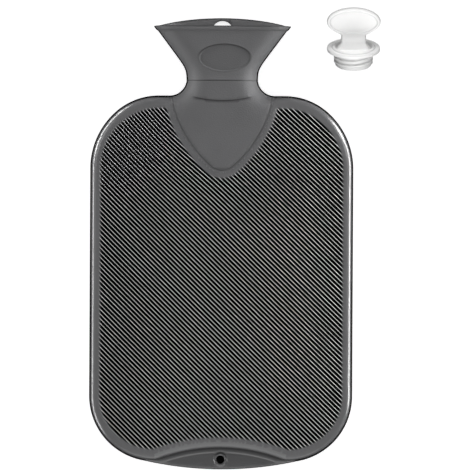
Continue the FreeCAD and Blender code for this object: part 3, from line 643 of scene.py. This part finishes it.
def neck(material):
    """Neck and funnel, with the seat, the threaded bore and the hanging hole."""
    levels = np.linspace(0.0, 1.0, 34)
    heights = CUT + (FRONT_RIM - BEAD - CUT) * levels
    edge_share = math.cos(SIDE_ANGLE)
    front_x = np.linspace(-edge_share, edge_share, FRONT_COUNT)
    spots = ring_spots(front_x)
    vertices, faces = [], []

    def add(points, cells):
        base = sum(len(v) for v in vertices)
        vertices.append(np.asarray(points))
        faces.extend([[int(i) + base for i in cell] for cell in cells])

    def strip(rows, closed):
        columns = len(rows[0])
        span = columns if closed else columns - 1
        cells = []
        for r in range(len(rows) - 1):
            for c in range(span):
                a, b = r * columns + c, r * columns + (c + 1) % columns
                cells.append((a, b, b + columns, a + columns))
        add(np.concatenate(rows), cells)

    # Front skin with the oval
    bottom = np.column_stack([front_x * neck_width(CUT), np.full(FRONT_COUNT, CUT)])
    right = np.column_stack([edge_share * neck_width(heights), heights])
    top_y = FRONT_RIM - BEAD
    top = np.column_stack([front_x * neck_width(top_y), np.full(FRONT_COUNT, top_y)])
    left = right * np.array([-1.0, 1.0])
    contour = np.concatenate([bottom[:-1], right[:-1], top[:0:-1], left[:0:-1]])
    loop = [(i, (i + 1) % len(contour)) for i in range(len(contour))]
    extra, edges, start = [], [], len(contour)
    angle = np.linspace(0.0, 2.0 * math.pi, OVAL_COUNT + 1)[:-1]
    for reach in (-2.0, -1.1, -0.7, -0.45, -0.2, 0.0, 0.25, 0.5, 0.9, 1.6):
        factor = 1.0 + reach / BADGE[3]
        oval_x = BADGE[0] + BADGE[2] * factor * np.cos(angle)
        extra.append(np.column_stack([oval_x, BADGE[1] + BADGE[3] * factor * np.sin(angle)]))
        edges += [(start + i, start + (i + 1) % OVAL_COUNT) for i in range(OVAL_COUNT)]
        start += OVAL_COUNT
    fill = grid(-50.0, 50.0, CUT + 1.4, top_y - 1.2, 1.7)
    fill = fill[np.abs(fill[:, 0]) < edge_share * neck_width(fill[:, 1]) - 1.0]
    reach = (oval_reach(fill) - 1.0) * BADGE[3]
    extra.append(fill[(reach < -2.9) | (reach > 2.5)])
    points = np.concatenate([contour, *extra])
    places, triangles, _ = triangulate(points, loop + edges, contour)
    add(np.column_stack([places, funnel_front(places)]), triangles)

    # Sides and back, then the bead, the rim and the inside
    side_spots = spots[FRONT_COUNT - 1 :] + spots[:1]
    strip([ring_at(side_spots, level, None, 0.0) for level in levels], False)
    rim = [(4.0, 0.0), (3.7, 0.05), (3.5, 0.3), (3.2, 0.55), (2.7, 0.7)]
    rim += [(1.2, 0.75), (0.6, 0.65), (0.2, 0.35), (0.0, -0.1)]
    rows = [ring_at(spots, 1.0, drop, swell) for drop, swell in rim]
    wide = float(neck_width(FRONT_RIM))
    arch_top = FRONT_RIM + BACK_ARCH
    rows.append(inner_ring(spots, wide - 1.7, NECK_RISE - 1.7, FRONT_RIM, arch_top))
    rows.append(inner_ring(spots, wide - 2.2, NECK_RISE - 2.2, FRONT_RIM - 0.4, arch_top - 0.4))
    rows.append(inner_ring(spots, wide - 2.6, NECK_RISE - 2.45, FRONT_RIM - 1.2, arch_top - 1.2))
    for level in np.linspace(0.1, 1.0, 14):
        y = FRONT_RIM - 1.2 + (POCKET_TOP + 1.0 - FRONT_RIM + 1.2) * level
        width = wide - 2.6 + (POCKET + 0.4 - wide + 2.6) * level
        depth = NECK_RISE - 2.45 + (POCKET + 0.4 - NECK_RISE + 2.45) * level
        lift = BACK_ARCH * (1.0 - level) ** 2
        rows.append(inner_ring(spots, width, depth, y, y + lift))
    for y, radius in ((POCKET_TOP, POCKET), (CUT + 0.5, POCKET), (CUT + 0.05, POCKET - 0.5)):
        rows.append(inner_ring(spots, radius, radius, y))
    for y, radius in ((CUT, POCKET - 1.0), (CUT, BORE + 2.4), (CUT - 0.3, BORE + 1.6)):
        rows.append(inner_ring(spots, radius, radius, y))
    for y in np.arange(CUT - 0.9, TUBE_END, -0.45):
        ring = []
        for share, side, _, _ in spots:
            angle = math.acos(max(-1.0, min(1.0, share))) * (side if side else 1.0)
            radius = thread_radius(angle, y)
            ring.append((radius * math.cos(angle), y, MID + radius * math.sin(angle)))
        rows.append(np.array(ring))
    rows.append(inner_ring(spots, 0.0, 0.0, TUBE_END))
    strip(rows, True)

    # Underside, hidden in the bag
    start_ring = ring_at(spots, 0.0, None, 0.0)
    start_ring[:FRONT_COUNT] = np.column_stack([bottom, funnel_front(bottom)])
    under = [start_ring]
    for radius, y in ((TUBE_OUT, CUT), (TUBE_OUT, TUBE_END - 1.0), (0.0, TUBE_END - 1.0)):
        under.append(inner_ring(spots, radius, radius, y))
    strip(under, True)

    # Painted shade: seam at the ridge, outline and floor of the oval, and the top of the rim
    places = np.concatenate(vertices)
    shade = seam(neck_width(places[:, 1]) - np.abs(places[:, 0]))
    shade *= (places[:, 1] < FRONT_RIM) * (1.0 - smooth((np.abs(places[:, 2] - MID) - 1.5) / 2.5))
    outside = (places[:, 2] > MID + 5.0) * (places[:, 1] < FRONT_RIM - 5.0)
    upper = smooth((places[:, 1] - BADGE[1]) / 5.0) * outside
    outline = np.exp(-(((oval_reach(places) - 1.0) * BADGE[3] / 0.4) ** 2))
    shade = np.maximum(shade, (0.15 + 0.4 * upper) * outline)
    badge = smooth((1.0 - oval_reach(places)) * BADGE[3] / 0.6) * outside
    shade = np.maximum(shade, 0.1 * badge)
    behind = places[:, 2] < MID
    rim_top = FRONT_RIM + behind * np.maximum(BACK_ARCH - places[:, 0] ** 2 / (2.0 * ARCH_RADIUS), 0.0)
    shade = np.maximum(shade, np.where(behind, 0.8, 0.5) * smooth((places[:, 1] - rim_top + 0.9) / 0.5))
    made = tidy(object_from("bottle_neck", places, faces, material, np.column_stack([shade, shade * 0.0])))

    # Hanging hole through the back wall only
    place = tuple(value * MM for value in HOLE_AT)
    bpy.ops.mesh.primitive_cylinder_add(vertices=72, radius=HOLE_RADIUS * MM, depth=0.02, location=place)
    cutter = bpy.context.object
    modifier = made.modifiers.new("hole", "BOOLEAN")
    modifier.operation = "DIFFERENCE"
    modifier.solver = "EXACT"
    modifier.object = cutter
    bpy.context.view_layer.objects.active = made
    bpy.ops.object.modifier_apply(modifier="hole")
    bpy.data.objects.remove(cutter, do_unlink=True)
    return made


def base_reach(points):
    """Distance in from the lowest arc of the outline."""
    return BASE_RADIUS - np.hypot(points[:, 0] - BASE_CENTRE[0], points[:, 1] - BASE_CENTRE[1])


def eyelet_gap(points):
    """Distance from the middle of the eyelet."""
    return np.hypot(points[:, 0] - EYELET[0], points[:, 1] - EYELET[1])


def foot_tab(material):
    """Crescent plate with the eyelet between the bay of the bag and the foot of the outline."""
    arch = arc(BASE_CENTRE, BASE_RADIUS, -102.4, -77.6, 1.2)[0]
    low = (np.abs(ridge_points[:, 0]) < 57.6) & (ridge_points[:, 1] < -118.0)
    bay = shell(ridge_points, ridge_normals, 2.6)[low]
    contour = np.concatenate([arch, bay])
    loop = [(i, (i + 1) % len(contour)) for i in range(len(contour))]
    extra, edges, start = [], [], len(contour)
    angle = np.linspace(0.0, 2.0 * math.pi, EYELET_COUNT + 1)[:-1]
    for radius, _ in EYELET_PROFILE:
        circle_x = EYELET[0] + radius * np.cos(angle)
        extra.append(np.column_stack([circle_x, EYELET[1] + radius * np.sin(angle)]))
        edges += [(start + i, start + (i + 1) % EYELET_COUNT) for i in range(EYELET_COUNT)]
        start += EYELET_COUNT
    for inset in (0.25, 0.6, 1.1, 1.7):
        curve = arc(BASE_CENTRE, BASE_RADIUS - inset, -102.0, -78.0, 1.2)[0]
        extra.append(curve)
        edges += [(start + i, start + i + 1) for i in range(len(curve) - 1)]
        start += len(curve)
    fill = grid(-57.0, 57.0, -141.0, -120.0, 2.0)
    clear = (base_reach(fill) > 2.4) & (eyelet_gap(fill) > 6.8) & (distances(fill, ridge_points) > 4.0)
    extra.append(fill[inside(fill, contour) & clear])
    for out in (0.6, 1.4, 2.2, 2.5, 2.8, 3.3):
        curve = shell(ridge_points, ridge_normals, -out)
        curve = curve[(np.abs(curve[:, 0]) < 47.0) & (curve[:, 1] < -118.0)]
        extra.append(curve[(eyelet_gap(curve) > 6.6) & (base_reach(curve) > 2.2)])
    points = np.concatenate([contour, *extra])
    places, triangles, _ = triangulate(points, loop + edges, contour)
    triangles = triangles[eyelet_gap(places[triangles].mean(1)) > 2.99]
    reach, gap = base_reach(places), eyelet_gap(places)
    level = TAB_HALF * (0.35 + 0.65 * quarter(reach / 1.7))
    level += 0.4 * (1.0 - smooth((distances(places, ridge_points) - 2.3) / 0.4)) * smooth(reach / 3.0)
    level = np.where(gap < 5.95, np.interp(gap, *zip(*EYELET_PROFILE)), level)
    used = np.unique(triangles)
    index = np.full(len(places), -1)
    index[used] = np.arange(len(used))
    places, level, triangles = places[used], level[used], index[triangles]
    count = len(places)
    vertices = [np.column_stack([places, MID + sign * level]) for sign in (1.0, -1.0)]
    faces = [list(f) for f in triangles] + [[a + count for a in f] for f in triangles[:, ::-1]]
    sides = {}
    for face in triangles:
        for pair in zip(face, np.roll(face, -1)):
            key = tuple(sorted(map(int, pair)))
            sides[key] = sides.get(key, 0) + 1
    faces += [[a, b, b + count, a + count] for (a, b), uses in sides.items() if uses == 1]

    # Thin skin that closes the eyelet at the back, painted black as shade
    skin_level = MID - TAB_HALF
    ring = [(EYELET[0] + 3.02 * math.cos(a), EYELET[1] + 3.02 * math.sin(a), skin_level) for a in angle]
    faces.append(list(range(2 * count, 2 * count + len(ring))))
    vertices.append(np.array(ring))
    vertices = np.concatenate(vertices)
    # Painted shade: black inside the eyelet and on its skin, darker at the lowest arc; painted light lifts
    # the tab near the bag's wall
    hollow = (eyelet_gap(vertices) < 3.1) & (vertices[:, 2] < MID + 1.6)
    shade = np.maximum(seam(base_reach(vertices) - 0.3), hollow)
    pale = 0.06 * (1.0 - smooth((distances(vertices[:, :2], ridge_points) - 1.0) / 7.0))
    return tidy(object_from("bottle_tab", vertices, faces, material, np.column_stack([shade, pale])))


# Stopper
TILT = math.radians(22.0)
FLANGE = 20.2
PLUG = 13.8
STOPPER_AT = (99.7, 177.4)
THREAD = 1.1
GRIP = (20.45, 11.15, 23.25)
# Rows: radius, height and painted shade in the crease there
PROFILE = (
    (0.0, -2.6, 0.0), (10.2, -2.6, 0.0), (11.0, -3.4, 0.1), (11.0, -12.0, 0.0), (11.4, -12.4, 0.0),
    (12.4, -12.4, 0.0), (13.1, -12.1, 0.1),
)
# Rows as above: radius, height and painted shade
TOP = (
    (PLUG, -0.35, 0.25), (PLUG + 0.35, 0.0, 0.35), (FLANGE - 0.5, 0.0, 0.1), (FLANGE - 0.12, 0.12, 0.25),
    (FLANGE, 0.5, 0.1), (FLANGE, 1.7, 0.0), (FLANGE - 0.15, 2.15, 0.05), (FLANGE - 0.6, 2.4, 0.2),
    (FLANGE - 1.2, 2.4, 0.0), (16.9, 2.4, 0.0), (16.35, 2.45, 0.5), (16.05, 2.75, 0.15), (15.85, 3.2, 0.0),
    (15.6, 3.4, 0.1), (14.6, 3.4, 0.0), (14.3, 3.2, 0.1), (13.7, 1.7, 0.25), (13.3, 1.4, 0.3),
    (12.4, 1.4, 0.0), (0.0, 1.4, 0.0),
)


def stopper_thread(angle, h):
    """Outer radius of the plug with its coarse thread."""
    turn = (h + 11.0) / 3.6 - angle / (2.0 * math.pi)
    wave = smooth((0.36 - abs((turn + 0.5) % 1.0 - 0.5)) / 0.16)
    ends = smooth((turn + 0.2) / 0.3) * smooth((2.6 - turn) / 0.3)
    return THREAD * wave * ends


def grip_half(h):
    """Half width of the stem and grip at a level."""
    stem = 9.5 + 2.5 * (1.0 - smooth((h - 1.4) / 6.0))
    stem = stem * (1.0 - smooth((h - 14.0) / 5.0))
    oval = GRIP[0] * np.sqrt(np.clip(1.0 - ((h - GRIP[2]) / GRIP[1]) ** 2, 0.0, 1.0))
    return (stem**5 + oval**5) ** 0.2


def stopper(material):
    """The stopper as it lies: its profile is turned round its axis, then it is tilted on to the floor."""
    count = 120
    vertices, faces, shade = [], [], []
    angle = np.arange(count) * 2.0 * math.pi / count

    def circle(radius, h):
        return np.column_stack([radius * np.cos(angle), radius * np.sin(angle), np.full(count, h)])

    def strip(rows, shades, closed):
        base, columns = sum(len(v) for v in vertices), len(rows[0])
        for r in range(len(rows) - 1):
            for c in range(columns if closed else columns - 1):
                a, b = base + r * columns + c, base + r * columns + (c + 1) % columns
                faces.append([a, b, b + columns, a + columns])
        vertices.append(np.concatenate(rows))
        shade.append(np.concatenate(shades))

    rows, shades = [], []
    for r, h, dark in PROFILE:
        rows.append(circle(r, h))
        shades.append(np.full(count, dark))
    for h in np.arange(-11.9, -0.5, 0.22):
        grown = np.array([stopper_thread(a, h) for a in angle])
        r = PLUG + grown - 1.0 * (1.0 - smooth((h + 12.4) / 1.2)) * (grown < 0.2)
        rows.append(circle(r, h))
        # Painted shade along the foot of the thread
        shades.append(0.3 * np.exp(-(((grown - 0.12) / 0.15) ** 2)))
    for r, h, dark in TOP:
        rows.append(circle(r, h))
        shades.append(np.full(count, dark))
    strip(rows, shades, True)

    # Stem and grip: both faces over one outline, with a recess inside the rim
    low = np.linspace(0.8, 13.0, 34)
    high = GRIP[2] + GRIP[1] * np.sin(np.linspace(math.asin((13.4 - GRIP[2]) / GRIP[1]), math.pi / 2.0, 46))
    levels = np.concatenate([low, high])
    columns = 91
    across = np.sin(np.linspace(-math.pi / 2.0, math.pi / 2.0, columns))
    half = grip_half(levels)
    half[-1] = 0.0
    spots = np.stack([half[:, None] * across[None], np.repeat(levels[:, None], columns, 1)], 2).reshape(-1, 2)
    right = np.column_stack([half, levels])
    edge = np.concatenate([right, right[::-1] * np.array([-1.0, 1.0])])
    reach = distances(spots, edge)
    thick = 2.8 + 0.7 * (1.0 - smooth((spots[:, 1] - 7.0) / 5.0))
    rim = 1.0 - np.hypot(spots[:, 0] / (GRIP[0] - 2.4), (spots[:, 1] - GRIP[2]) / (GRIP[1] - 2.4))
    rim = rim * (GRIP[1] - 2.4)
    level = thick * quarter(reach / 1.3) - 0.6 * smooth((rim + 0.2) / 0.6)
    # Painted shade in a line round the recess rim and along the grip's edge
    outer = 0.3 * np.exp(-((reach / 0.3) ** 2)) * (spots[:, 1] > 12.0)
    lines = np.maximum(0.4 * np.exp(-((rim / 0.35) ** 2)), outer)
    for side in (1.0, -1.0):
        face = np.column_stack([spots[:, 0], side * level, spots[:, 1]]).reshape(len(levels), columns, 3)
        flat = face[:1] * np.array([1.0, 0.0, 1.0])
        rows = list(np.concatenate([flat, face]))
        dark = lines.reshape(len(levels), columns)
        strip(rows, list(np.concatenate([dark[:1], dark])), False)
    places = np.concatenate(vertices)
    sin, cos = math.sin(TILT), math.cos(TILT)
    x, side, h = places.T
    turned = np.column_stack([x, h * cos + side * sin, h * sin - side * cos])
    turned += np.array([*STOPPER_AT, -turned[:, 2].min()])
    given = np.concatenate(shade)
    shares = np.column_stack([given, given * 0.0])
    return tidy(object_from("stopper_white", turned, faces, material, shares))


def node(tree, kind, **inputs):
    """New node with the given values on its sockets."""
    made = tree.nodes.new(kind)
    for key, value in inputs.items():
        made.inputs[key.replace("_", " ")].default_value = value
    return made


def attribute(tree, name):
    made = tree.nodes.new("ShaderNodeAttribute")
    made.attribute_name = name
    return made.outputs["Fac"]


def noise(tree, scale, detail):
    """Noise over the object's own coordinates."""
    place = tree.nodes.new("ShaderNodeTexCoord")
    made = node(tree, "ShaderNodeTexNoise", Scale=scale, Detail=detail)
    tree.links.new(place.outputs["Object"], made.inputs["Vector"])
    return made.outputs["Fac"]


def ranged(tree, source, low, high):
    """A 0 to 1 value spread from low to high."""
    made = node(tree, "ShaderNodeMapRange", To_Min=low, To_Max=high)
    tree.links.new(source, made.inputs["Value"])
    return made.outputs["Result"]


def added(tree, source, factor, base, clamp=False):
    """A value plus a share of the source."""
    made = tree.nodes.new("ShaderNodeMath")
    made.operation = "MULTIPLY_ADD"
    made.use_clamp = clamp
    made.inputs[1].default_value = factor
    tree.links.new(source, made.inputs[0])
    tree.links.new(base, made.inputs[2])
    return made.outputs["Value"]


def mixed(tree, share, first, second):
    """Two colours mixed; the first is a colour or the output of another mix."""
    made = tree.nodes.new("ShaderNodeMix")
    made.data_type = "RGBA"
    tree.links.new(share, made.inputs[0])
    if isinstance(first, tuple):
        made.inputs[6].default_value = first
    else:
        tree.links.new(first, made.inputs[6])
    made.inputs[7].default_value = second
    return made.outputs[2]


def pvc():
    """Dark grey, cloudy and glossy; painted shade makes it black with little reflection in grooves, seams and
    creases, painted highlight makes it pale on rib crests and painted light lifts the foot tab and the bay;
    dull on the yoke.
    """
    material = bpy.data.materials.new("grey_pvc")
    material.use_nodes = True
    tree = material.node_tree
    shader = tree.nodes["Principled BSDF"]
    tint = mixed(tree, noise(tree, 55.0, 4.0), (0.047, 0.047, 0.0485, 1.0), (0.057, 0.057, 0.0585, 1.0))
    # Painted highlight on rib crests and painted light on the foot tab and bay: the tint is mixed towards
    # pale grey
    tint_with_painted_light = mixed(tree, attribute(tree, "painted_light"), tint, (0.42, 0.42, 0.424, 1.0))
    painted_shading = attribute(tree, "painted_shading")
    matte = attribute(tree, "matte")
    grain = noise(tree, 1100.0, 3.0)
    # Reflection is turned down where the painted shade is
    gloss = added(tree, matte, -0.28, ranged(tree, painted_shading, 0.5, 0.02), True)
    rough = added(tree, matte, 0.42, ranged(tree, grain, 0.2, 0.3))
    bump = node(tree, "ShaderNodeBump", Distance=0.0002)
    tree.links.new(ranged(tree, matte, 0.2, 0.8), bump.inputs["Strength"])
    tree.links.new(grain, bump.inputs["Height"])
    # Painted shade turns the colour black
    tree.links.new(mixed(tree, painted_shading, tint_with_painted_light, (0.002, 0.002, 0.002, 1.0)), shader.inputs["Base Color"])
    tree.links.new(gloss, shader.inputs["Specular IOR Level"])
    tree.links.new(rough, shader.inputs["Roughness"])
    tree.links.new(bump.outputs["Normal"], shader.inputs["Normal"])
    return material


def white_plastic():
    """Slightly cloudy white with painted shade in the creases."""
    material = bpy.data.materials.new("white_plastic")
    material.use_nodes = True
    tree = material.node_tree
    shader = tree.nodes["Principled BSDF"]
    shader.inputs["Roughness"].default_value = 0.38
    shader.inputs["Subsurface Weight"].default_value = 0.1
    shader.inputs["Subsurface Radius"].default_value = (0.002, 0.002, 0.002)
    tint = mixed(tree, noise(tree, 160.0, 3.0), (0.88, 0.88, 0.875, 1.0), (0.92, 0.92, 0.915, 1.0))
    # Painted shade in the stopper's creases
    tint_with_painted_shade = mixed(tree, attribute(tree, "painted_shading"), tint, (0.3, 0.3, 0.3, 1.0))
    tree.links.new(tint_with_painted_shade, shader.inputs["Base Color"])
    return material


# Studio, in metres
SKY = ((0.02, 0.5), (0.6, 0.5), (0.95, 0.42))
AIM = (0.0, 0.03, 0.02)
CAMERA_OVER = (0.0103, 0.0362, 0.03)
CAMERA_DISTANCE = 8.0
CAMERA_ROLL = math.radians(0.3)
SENSOR = 36.0
VIEW_WIDTH = 0.357


def floor():
    """Plain pale floor that neither tints nor mirrors in the object."""
    bpy.ops.mesh.primitive_plane_add(size=60.0, location=(0.0, 0.0, 0.0))
    made = bpy.context.object
    made.name = "floor"
    material = bpy.data.materials.new("pale_floor")
    material.use_nodes = True
    shader = material.node_tree.nodes["Principled BSDF"]
    shader.inputs["Base Color"].default_value = (0.9, 0.9, 0.9, 1.0)
    shader.inputs["Roughness"].default_value = 0.9
    shader.inputs["Emission Color"].default_value = (1.0, 1.0, 1.0, 1.0)
    shader.inputs["Emission Strength"].default_value = 0.8
    made.data.materials.append(material)
    made.visible_diffuse = False
    made.visible_glossy = False


def area(name, place, size, power, lit):
    """Soft lamp that lights one collection and points at the middle of the object."""
    light = bpy.data.lights.new(name, "AREA")
    light.shape = "RECTANGLE"
    light.size, light.size_y = size
    light.energy = power
    made = bpy.data.objects.new(name, light)
    made.location = place
    made.rotation_euler = (Vector(AIM) - Vector(place)).to_track_quat("-Z", "Y").to_euler()
    bpy.context.scene.collection.objects.link(made)
    made.light_linking.receiver_collection = lit


def camera():
    """Looks straight down from far away, so that the picture spans VIEW_WIDTH at CAMERA_OVER."""
    data = bpy.data.cameras.new("camera")
    data.sensor_width = SENSOR
    data.lens = SENSOR * CAMERA_DISTANCE / VIEW_WIDTH
    made = bpy.data.objects.new("camera", data)
    made.location = (*CAMERA_OVER[:2], CAMERA_OVER[2] + CAMERA_DISTANCE)
    made.rotation_euler = (0.0, 0.0, CAMERA_ROLL)
    bpy.context.scene.collection.objects.link(made)
    bpy.context.scene.camera = made


def world():
    """Even grey surroundings, darker below the horizon and straight overhead."""
    made = bpy.data.worlds.new("studio")
    bpy.context.scene.world = made
    made.use_nodes = True
    tree = made.node_tree
    place = tree.nodes.new("ShaderNodeTexCoord")
    split = tree.nodes.new("ShaderNodeSeparateXYZ")
    tree.links.new(place.outputs["Generated"], split.inputs["Vector"])
    sky = tree.nodes.new("ShaderNodeValToRGB")
    tree.links.new(split.outputs["Z"], sky.inputs["Fac"])
    stops = sky.color_ramp.elements
    stops[0].position, stops[1].position = 0.0, 1.0
    for height, share in SKY:
        stop = stops.new(height)
        stop.color = (share, share, share, 1.0)
    stops[0].color, stops[-1].color = (0.0, 0.0, 0.0, 1.0), (SKY[-1][1],) * 3 + (1.0,)
    background = tree.nodes["Background"]
    tree.links.new(sky.outputs["Color"], background.inputs["Color"])


camera()
floor()
world()
grey = pvc()
white = white_plastic()
dark_pieces = bpy.data.collections.new("dark_pieces")
for piece in (bag(grey), neck(grey), foot_tab(grey)):
    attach(piece, "root")
    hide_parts("bottle")
    dark_pieces.objects.link(piece)
piece = stopper(white)
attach(piece, "root")
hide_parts("stopper")
white_pieces = bpy.data.collections.new("white_pieces")
white_pieces.objects.link(piece)
for name, material in (("bottle", grey), ("stopper", white)):
    data = frame["nodes"][name].data
    data.materials.clear()
    data.materials.append(material)
area("right_strip", (1.3, 0.33, 0.2), (1.5, 0.22), 44.0, dark_pieces)
area("right_corner", (1.1, 0.72, 0.45), (0.35, 0.4), 17.0, dark_pieces)
area("left_strip", (-1.05, 0.85, 0.2), (1.1, 0.18), 23.0, dark_pieces)
area("left_low", (-1.4, -0.1, 0.2), (1.8, 0.12), 24.0, dark_pieces)
area("right_soft", (1.0, 0.5, 1.6), (0.45, 0.45), 9.0, dark_pieces)
area("left_soft", (-1.0, 0.5, 1.6), (0.45, 0.45), 6.0, dark_pieces)
area("foot_soft", (0.0, -1.2, 2.2), (1.2, 1.2), 6.0, dark_pieces)
area("foot_low", (0.0, -1.3, 0.6), (1.6, 0.8), 9.0, dark_pieces)
area("stopper_soft", (0.1, -0.6, 2.2), (2.0, 2.0), 4.0, white_pieces)
area("stopper_front", (0.1, -1.6, 0.55), (1.5, 1.0), 30.0, white_pieces)
area("stopper_back", (0.1, 1.6, 1.2), (2.0, 1.2), 24.0, white_pieces)
bpy.context.scene.view_settings.view_transform = "Standard"
